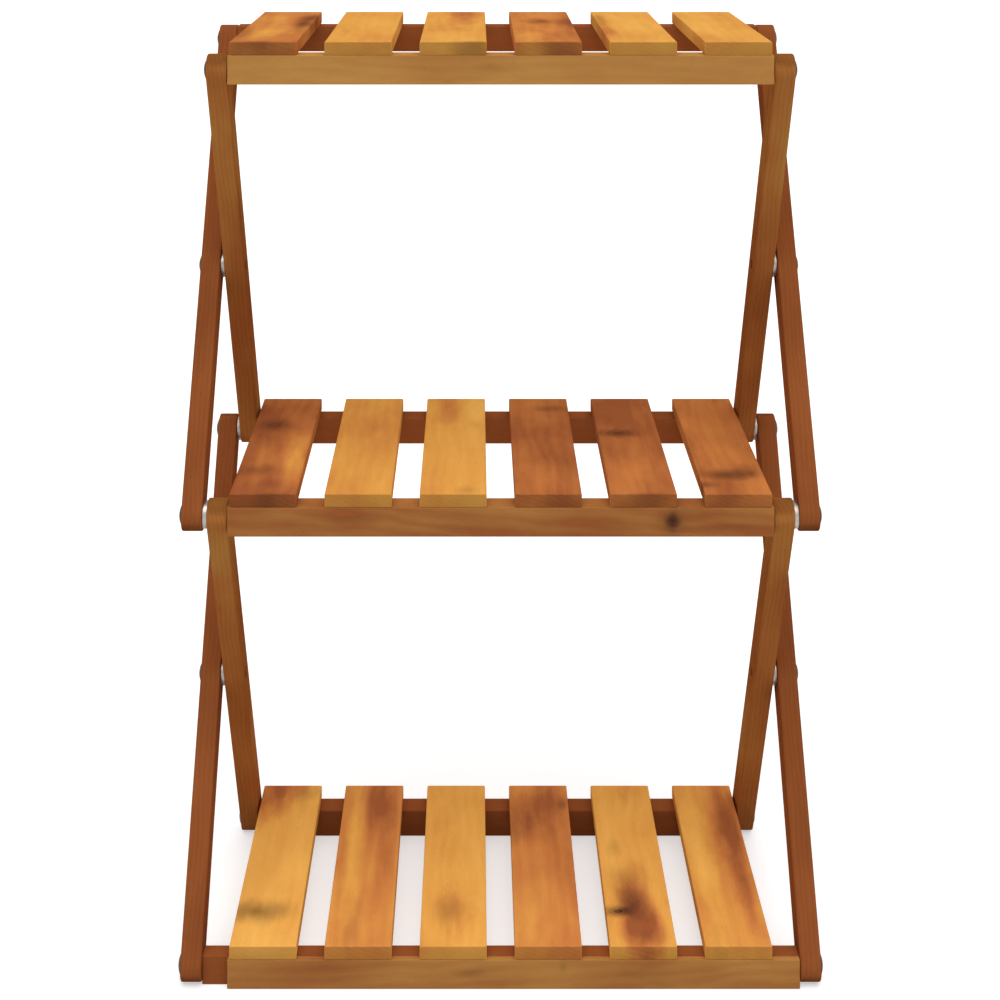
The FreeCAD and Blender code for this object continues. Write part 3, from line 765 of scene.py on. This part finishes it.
class PLANT_STAND_OT_screws(bpy.types.Operator):
    """Drive two wood screws into every slat from below"""

    bl_idname = "plant_stand.screws"
    bl_label = "Screws"

    def execute(self, context):
        """Build the screws of every shelf."""
        s = sizes()
        material = metal("screw zinc", colours().zinc, 0.40, wear=0.15)
        for shelf in SHELVES:
            node = f"{shelf}_shelf_screws"
            low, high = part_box(node)
            first, second = middle(f"{shelf}_slat_1"), middle(f"{shelf}_slat_2")
            shape = Shaping(node)
            head_radius = shape.input("Head Radius", s.screw_head)
            head_height = shape.input("Head Height", s.screw_head_height)
            slot = shape.input("Slot Width", s.screw_slot)
            slot_depth = shape.calc("MULTIPLY", head_height, 0.5)
            slot_length = shape.calc("MULTIPLY", head_radius, 1.2)
            head = shape.cylinder(head_radius, head_height, sides=24)
            cuts = [shape.add("GeometryNodeMeshCube", {"Size": shape.combine(*bar)}).outputs["Mesh"]
                    for bar in ((slot_length, slot, slot_depth), (slot, slot_length, slot_depth))]
            head = shape.without(head, *cuts)
            shank = shape.cylinder(shape.input("Shank Radius", s.screw_shank),
                                   shape.input("Shank Length", high.z - low.z - s.screw_head_height),
                                   head_height, 12)
            spread = shape.combine(shape.input("Spread", s.screw_spread), 0.0, 0.0)
            pair = shape.row(shape.joined(head, shank), 2, (0, 0, 0), spread)
            start = shape.input("First Screw", (first.x - s.screw_spread / 2, (low.y + high.y) / 2, low.z),
                                "NodeSocketVector")
            step = shape.combine(shape.input("Pitch", second.x - first.x), 0.0, 0.0)
            count = shape.input("Slats", SLATS, "NodeSocketInt")
            shape.finish(shape.row(pair, count, start, step), material)
            stand_in(shape.piece(f"{node}_driven", material), body_of_node(node), "screw_steel", node)
        return {"FINISHED"}


class PLANT_STAND_OT_inserts(bpy.types.Operator):
    """Finish the threaded inserts and the lip's pins"""

    bl_idname = "plant_stand.inserts"
    bl_label = "Inserts and Pins"

    def execute(self, context):
        """Paint the inserts as brass and the pins as steel."""
        brass = metal("brass", colours().brass, 0.35, wear=0.15)
        for node in frame["nodes"]:
            if node.endswith("_inserts"):
                paint(node, brass)
        paint("bottom_lip_pins", metal("pin steel", colours().zinc, 0.40))
        return {"FINISHED"}


FLOOR_SIZE = 60.0
LENS = 0.06241
SENSOR = 0.036
CAMERA_PLACE = (-0.0237, -1.6631, 1.0216)
CAMERA_SHIFT = (0.0260, -0.6658)
# azimuth and elevation of each soft sun in degrees, its spread in degrees and its strength
SUNS = {
    "front left light": (-28, 62, 45, 0.85),
    "front right light": (28, 62, 45, 0.80),
    "back light": (160, 50, 60, 0.55),
}
WORLD_LEVEL = 0.45
FLOOR_GLOW = 0.50


class PLANT_STAND_OT_stage(bpy.types.Operator):
    """Set the floor, the lamps, the world and the camera"""

    bl_idname = "plant_stand.stage"
    bl_label = "Stage"

    def execute(self, context):
        """Build the stage around the stand."""
        scene = context.scene
        scene.view_settings.view_transform = "Standard"
        self.add_floor(scene)
        self.add_world(scene)
        for name, (azimuth, elevation, spread, strength) in SUNS.items():
            self.add_sun(scene, name, azimuth, elevation, spread, strength)
        self.add_camera(scene)
        return {"FINISHED"}

    def add_floor(self, scene):
        """A plain pale floor that looks white where it is lit and keeps the stand's shadow."""
        half = FLOOR_SIZE / 2
        mesh = bpy.data.meshes.new("floor")
        mesh.from_pydata([(-half, -half, 0), (half, -half, 0), (half, half, 0), (-half, half, 0)], [],
                         [(0, 1, 2, 3)])
        material, graph, shader = new_material("pale floor")
        grain = graph.noise(graph.vector("MULTIPLY", graph.add("ShaderNodeTexCoord").outputs["Object"],
                                         (3, 3, 3)), 3.0)
        tint = graph.smooth(grain, 0.2, 0.8, 0.985, 1.0)
        graph.put(shader.inputs["Base Color"],
                  graph.mix(1.0, opaque(colours().floor), graph.combine(tint, tint, tint), "MULTIPLY"))
        shader.inputs["Roughness"].default_value = 0.9
        shader.inputs["Specular IOR Level"].default_value = 0.1
        shader.inputs["Emission Color"].default_value = (1, 1, 1, 1)
        graph.put(shader.inputs["Emission Strength"], self.seen_directly(graph, FLOOR_GLOW))
        mesh.materials.append(material)
        floor = bpy.data.objects.new("floor", mesh)
        scene.collection.objects.link(floor)

    def seen_directly(self, graph, strength):
        """strength for what the camera, a gloss or a glass sees, and 0 for the light itself."""
        path = graph.add("ShaderNodeLightPath")
        seen = graph.calc("MAXIMUM", path.outputs["Is Camera Ray"], path.outputs["Is Glossy Ray"])
        seen = graph.calc("MAXIMUM", seen, path.outputs["Is Transmission Ray"])
        return graph.calc("MULTIPLY", seen, strength)

    def add_world(self, scene):
        """An even pale sky, white where the camera sees it."""
        world = bpy.data.worlds.new("studio")
        world.use_nodes = True
        world.node_tree.nodes.clear()
        graph = Shading(world.node_tree)
        extra = self.seen_directly(graph, 1.0 - WORLD_LEVEL)
        sky = graph.add("ShaderNodeBackground", {"Color": (1, 1, 1, 1),
                                                 "Strength": graph.calc("ADD", extra, WORLD_LEVEL)})
        output = graph.add("ShaderNodeOutputWorld")
        graph.put(output.inputs["Surface"], sky.outputs[0])
        scene.world = world

    def add_sun(self, scene, name, azimuth, elevation, spread, strength):
        """A wide soft light from one direction; azimuth 0 is the front of the stand."""
        light = bpy.data.lights.new(name, "SUN")
        light.angle = math.radians(spread)
        light.energy = strength
        lamp = bpy.data.objects.new(name, light)
        turn, rise = math.radians(azimuth), math.radians(elevation)
        towards = Vector((math.sin(turn) * math.cos(rise), -math.cos(turn) * math.cos(rise), math.sin(rise)))
        lamp.rotation_euler = (-towards).to_track_quat("-Z", "Y").to_euler()
        lamp.location = 3 * towards
        scene.collection.objects.link(lamp)

    def add_camera(self, scene):
        """A level camera in front of the stand, shifted down as the photograph's was."""
        data = bpy.data.cameras.new("camera")
        data.sensor_width = SENSOR * 1000
        data.lens = LENS * 1000
        data.shift_x, data.shift_y = CAMERA_SHIFT
        camera = bpy.data.objects.new("camera", data)
        camera.location = CAMERA_PLACE
        camera.rotation_euler = (math.pi / 2, 0, 0)
        scene.collection.objects.link(camera)
        scene.camera = camera


OPERATORS = (
    PLANT_STAND_OT_slats,
    PLANT_STAND_OT_rails,
    PLANT_STAND_OT_bars,
    PLANT_STAND_OT_bolts,
    PLANT_STAND_OT_washers,
    PLANT_STAND_OT_screws,
    PLANT_STAND_OT_inserts,
    PLANT_STAND_OT_stage,
)


class PLANT_STAND_PT_panel(bpy.types.Panel):
    """Lists the steps that make the stand"""

    bl_idname = "PLANT_STAND_PT_panel"
    bl_label = "Plant Stand"
    bl_space_type = "VIEW_3D"
    bl_region_type = "UI"
    bl_category = "Plant Stand"

    def draw(self, context):
        """One button for each step, then the sizes and colours."""
        for step in OPERATORS:
            self.layout.operator(step.bl_idname)
        for group in (context.scene.plant_stand_sizes, context.scene.plant_stand_colours):
            column = self.layout.column()
            for name in group.__annotations__:
                column.prop(group, name)


CLASSES = (StandSizes, StandColours, *OPERATORS, PLANT_STAND_PT_panel)


def register():
    """Make the classes and the scene's own sizes and colours known."""
    for item in CLASSES:
        bpy.utils.register_class(item)
    bpy.types.Scene.plant_stand_sizes = bpy.props.PointerProperty(type=StandSizes)
    bpy.types.Scene.plant_stand_colours = bpy.props.PointerProperty(type=StandColours)


def unregister():
    """Forget what register made known."""
    del bpy.types.Scene.plant_stand_colours
    del bpy.types.Scene.plant_stand_sizes
    for item in reversed(CLASSES):
        bpy.utils.unregister_class(item)


def main():
    """Run every step in order."""
    register()
    for step in OPERATORS:
        group, name = step.bl_idname.split(".")
        getattr(getattr(bpy.ops, group), name)()


if __name__ == "__main__":
    main()
